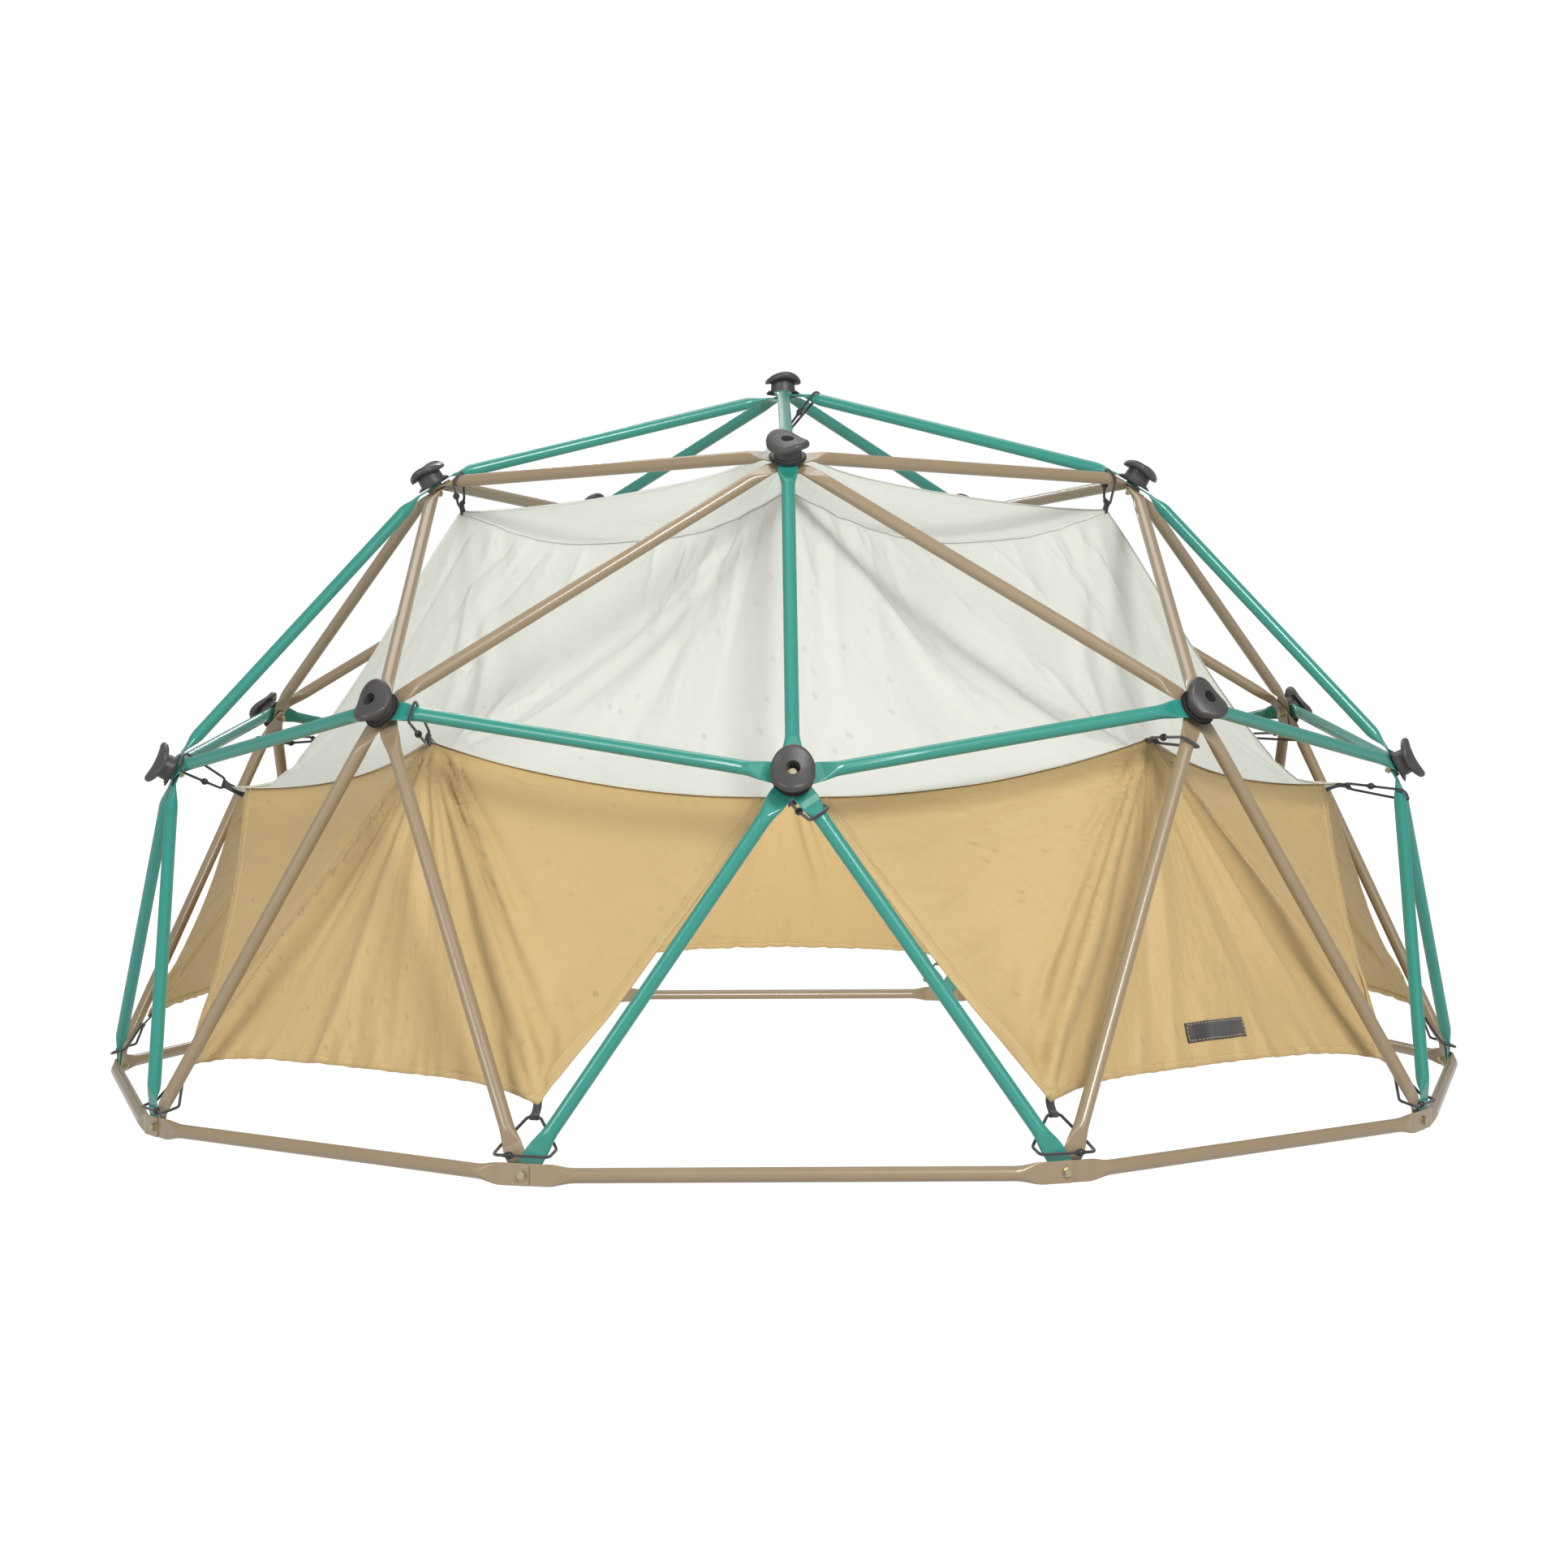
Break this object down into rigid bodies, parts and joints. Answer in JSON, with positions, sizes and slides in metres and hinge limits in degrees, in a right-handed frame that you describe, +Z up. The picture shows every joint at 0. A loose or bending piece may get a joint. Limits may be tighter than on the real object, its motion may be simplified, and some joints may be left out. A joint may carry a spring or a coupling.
{
  "type": "dome shelter",
  "caption": "Fabric shelter with open triangular doorways, tied by elastic loops inside a bolted geodesic dome frame of steel tubes with moulded hand grips.",
  "frame": {"origin": "middle of the footprint on the ground, on the dome's axis", "axes": "+Z up along the dome's axis, -Y towards the front doorway, +X to the right seen from the front"},
  "size_m": [2.953, 2.8364, 1.5301],
  "materials": {
    "green_tube": "glossy powder coat",
    "taupe_tube": "satin powder coat",
    "grip_plastic": "fine moulded grain",
    "black_pad": "matt",
    "zinc_hardware": "yellow zinc plate",
    "roof_fabric": "plain woven polyester",
    "wall_fabric": "plain woven polyester",
    "patch_fabric": "woven patch with no mark",
    "elastic_cord": "braided sleeve",
    "webbing": "flat woven webbing",
    "toggle_plastic": "smooth moulded"
  },
  "bodies": {
    "frame": {"base_ring_tubes": "taupe_tube", "crown_tubes": "green_tube", "upper_spine_tubes": "green_tube", "middle_ring_tubes": "green_tube", "doorway_leg_tubes": "green_tube", "crown_ring_tubes": "taupe_tube", "upper_brace_tubes": "taupe_tube", "lower_brace_tubes": "taupe_tube", "hub_pads": "black_pad", "grip_caps_upper": "grip_plastic", "grip_caps_lower": "grip_plastic", "hub_washers": "zinc_hardware", "hub_bolts": "zinc_hardware", "hub_nuts": "zinc_hardware", "base_bolts": "zinc_hardware", "base_washers": "zinc_hardware", "base_nuts": "zinc_hardware", "roof_top": "roof_fabric", "roof_sides": "roof_fabric", "wall_heads": "wall_fabric", "roof_cords": "elastic_cord", "roof_tabs": "webbing", "hem_cords": "elastic_cord"},
    "wall_flap_0": {"wall_0": "wall_fabric", "hem_tabs_0": "webbing", "wall_patch": "patch_fabric"},
    "wall_flap_1": {"wall_1": "wall_fabric", "hem_tabs_1": "webbing"},
    "wall_flap_2": {"wall_2": "wall_fabric", "hem_tabs_2": "webbing"},
    "wall_flap_3": {"wall_3": "wall_fabric", "hem_tabs_3": "webbing"},
    "wall_flap_4": {"wall_4": "wall_fabric", "hem_tabs_4": "webbing"},
    "ball_apex": {"toggle_apex": "toggle_plastic"},
    "ball_crown_0": {"toggle_crown_0": "toggle_plastic"},
    "ball_crown_1": {"toggle_crown_1": "toggle_plastic"},
    "ball_crown_2": {"toggle_crown_2": "toggle_plastic"},
    "ball_crown_3": {"toggle_crown_3": "toggle_plastic"},
    "ball_crown_4": {"toggle_crown_4": "toggle_plastic"},
    "ball_corner_0": {"toggle_corner_0": "toggle_plastic"},
    "ball_corner_1": {"toggle_corner_1": "toggle_plastic"},
    "ball_corner_2": {"toggle_corner_2": "toggle_plastic"},
    "ball_corner_3": {"toggle_corner_3": "toggle_plastic"},
    "ball_corner_4": {"toggle_corner_4": "toggle_plastic"},
    "ball_middle_0": {"toggle_middle_0": "toggle_plastic"},
    "ball_middle_1": {"toggle_middle_1": "toggle_plastic"},
    "ball_middle_2": {"toggle_middle_2": "toggle_plastic"},
    "ball_middle_3": {"toggle_middle_3": "toggle_plastic"},
    "ball_middle_4": {"toggle_middle_4": "toggle_plastic"},
    "ball_base_0": {"toggle_base_0": "toggle_plastic"},
    "ball_base_1": {"toggle_base_1": "toggle_plastic"},
    "ball_base_2": {"toggle_base_2": "toggle_plastic"},
    "ball_base_3": {"toggle_base_3": "toggle_plastic"},
    "ball_base_4": {"toggle_base_4": "toggle_plastic"},
    "ball_base_5": {"toggle_base_5": "toggle_plastic"},
    "ball_base_6": {"toggle_base_6": "toggle_plastic"},
    "ball_base_7": {"toggle_base_7": "toggle_plastic"},
    "ball_base_8": {"toggle_base_8": "toggle_plastic"},
    "ball_base_9": {"toggle_base_9": "toggle_plastic"}
  },
  "joints": [
    {"name": "wall_swing_0", "type": "hinge", "parent": "frame", "child": "wall_flap_0", "pos_m": [0.58003, -0.79834, 0.62365], "axis": [0.809, 0.5878, 0], "range_deg": [-2, 8], "stiffness_Nm_per_rad": 6, "deforming": ["hem_cords"]},
    {"name": "wall_swing_1", "type": "hinge", "parent": "frame", "child": "wall_flap_1", "pos_m": [0.93851, 0.30494, 0.62365], "axis": [-0.309, 0.9511, 0], "range_deg": [-2, 8], "stiffness_Nm_per_rad": 6, "deforming": ["hem_cords"]},
    {"name": "wall_swing_2", "type": "hinge", "parent": "frame", "child": "wall_flap_2", "pos_m": [0, 0.9868, 0.62365], "axis": [-1, 0, 0], "range_deg": [-2, 8], "stiffness_Nm_per_rad": 6, "deforming": ["hem_cords"]},
    {"name": "wall_swing_3", "type": "hinge", "parent": "frame", "child": "wall_flap_3", "pos_m": [-0.93851, 0.30494, 0.62365], "axis": [-0.309, -0.9511, 0], "range_deg": [-2, 8], "stiffness_Nm_per_rad": 6, "deforming": ["hem_cords"]},
    {"name": "wall_swing_4", "type": "hinge", "parent": "frame", "child": "wall_flap_4", "pos_m": [-0.58003, -0.79834, 0.62365], "axis": [0.809, -0.5878, 0], "range_deg": [-2, 8], "stiffness_Nm_per_rad": 6, "deforming": ["hem_cords"]},
    {"name": "pull_apex", "type": "slide", "parent": "frame", "child": "ball_apex", "axis": [-0.3794, -0.921, -0.0886], "range_m": [0, 0.015], "stiffness_N_per_m": 200},
    {"name": "pull_crown_0", "type": "slide", "parent": "frame", "child": "ball_crown_0", "axis": [0.9892, -0.0057, -0.1463], "range_m": [0, 0.015], "stiffness_N_per_m": 200},
    {"name": "pull_crown_1", "type": "slide", "parent": "frame", "child": "ball_crown_1", "axis": [-0.4538, 0.7193, 0.526], "range_m": [0, 0.015], "stiffness_N_per_m": 200},
    {"name": "pull_crown_2", "type": "slide", "parent": "frame", "child": "ball_crown_2", "axis": [-0.8243, -0.2093, 0.526], "range_m": [0, 0.015], "stiffness_N_per_m": 200},
    {"name": "pull_crown_3", "type": "slide", "parent": "frame", "child": "ball_crown_3", "axis": [-0.6246, 0.2659, -0.7342], "range_m": [0, 0.015], "stiffness_N_per_m": 200},
    {"name": "pull_crown_4", "type": "slide", "parent": "frame", "child": "ball_crown_4", "axis": [-0.446, -0.5119, -0.7342], "range_m": [0, 0.015], "stiffness_N_per_m": 200},
    {"name": "pull_corner_0", "type": "slide", "parent": "frame", "child": "ball_corner_0", "axis": [-0.8438, -0.0913, -0.5288], "range_m": [0, 0.015], "stiffness_N_per_m": 200},
    {"name": "pull_corner_1", "type": "slide", "parent": "frame", "child": "ball_corner_1", "axis": [-0.4946, -0.6696, 0.5541], "range_m": [0, 0.015], "stiffness_N_per_m": 200},
    {"name": "pull_corner_2", "type": "slide", "parent": "frame", "child": "ball_corner_2", "axis": [0.484, -0.6773, 0.5541], "range_m": [0, 0.015], "stiffness_N_per_m": 200},
    {"name": "pull_corner_3", "type": "slide", "parent": "frame", "child": "ball_corner_3", "axis": [0.629, 0.5699, -0.5288], "range_m": [0, 0.015], "stiffness_N_per_m": 200},
    {"name": "pull_corner_4", "type": "slide", "parent": "frame", "child": "ball_corner_4", "axis": [-0.1523, -0.2796, -0.948], "range_m": [0, 0.015], "stiffness_N_per_m": 200},
    {"name": "pull_middle_0", "type": "slide", "parent": "frame", "child": "ball_middle_0", "axis": [-0.8497, -0.25, 0.4642], "range_m": [0, 0.015], "stiffness_N_per_m": 200},
    {"name": "pull_middle_1", "type": "slide", "parent": "frame", "child": "ball_middle_1", "axis": [-0.0248, -0.8854, 0.4642], "range_m": [0, 0.015], "stiffness_N_per_m": 200},
    {"name": "pull_middle_2", "type": "slide", "parent": "frame", "child": "ball_middle_2", "axis": [0.8783, 0.1297, -0.4602], "range_m": [0, 0.015], "stiffness_N_per_m": 200},
    {"name": "pull_middle_3", "type": "slide", "parent": "frame", "child": "ball_middle_3", "axis": [0.1481, 0.8754, -0.4602], "range_m": [0, 0.015], "stiffness_N_per_m": 200},
    {"name": "pull_middle_4", "type": "slide", "parent": "frame", "child": "ball_middle_4", "axis": [-0.2695, -0.2495, -0.9301], "range_m": [0, 0.015], "stiffness_N_per_m": 200},
    {"name": "pull_base_0", "type": "slide", "parent": "frame", "child": "ball_base_0", "axis": [0.309, -0.9511, 0], "range_m": [0, 0.015], "stiffness_N_per_m": 200},
    {"name": "pull_base_1", "type": "slide", "parent": "frame", "child": "ball_base_1", "axis": [0.809, -0.5878, 0], "range_m": [0, 0.015], "stiffness_N_per_m": 200},
    {"name": "pull_base_2", "type": "slide", "parent": "frame", "child": "ball_base_2", "axis": [1, 0, 0], "range_m": [0, 0.015], "stiffness_N_per_m": 200},
    {"name": "pull_base_3", "type": "slide", "parent": "frame", "child": "ball_base_3", "axis": [0.809, 0.5878, 0], "range_m": [0, 0.015], "stiffness_N_per_m": 200},
    {"name": "pull_base_4", "type": "slide", "parent": "frame", "child": "ball_base_4", "axis": [0.309, 0.9511, 0], "range_m": [0, 0.015], "stiffness_N_per_m": 200},
    {"name": "pull_base_5", "type": "slide", "parent": "frame", "child": "ball_base_5", "axis": [-0.309, 0.9511, 0], "range_m": [0, 0.015], "stiffness_N_per_m": 200},
    {"name": "pull_base_6", "type": "slide", "parent": "frame", "child": "ball_base_6", "axis": [-0.809, 0.5878, 0], "range_m": [0, 0.015], "stiffness_N_per_m": 200},
    {"name": "pull_base_7", "type": "slide", "parent": "frame", "child": "ball_base_7", "axis": [-1, 0, 0], "range_m": [0, 0.015], "stiffness_N_per_m": 200},
    {"name": "pull_base_8", "type": "slide", "parent": "frame", "child": "ball_base_8", "axis": [-0.809, -0.5878, 0], "range_m": [0, 0.015], "stiffness_N_per_m": 200},
    {"name": "pull_base_9", "type": "slide", "parent": "frame", "child": "ball_base_9", "axis": [-0.309, -0.9511, 0], "range_m": [0, 0.015], "stiffness_N_per_m": 200}
  ]
}
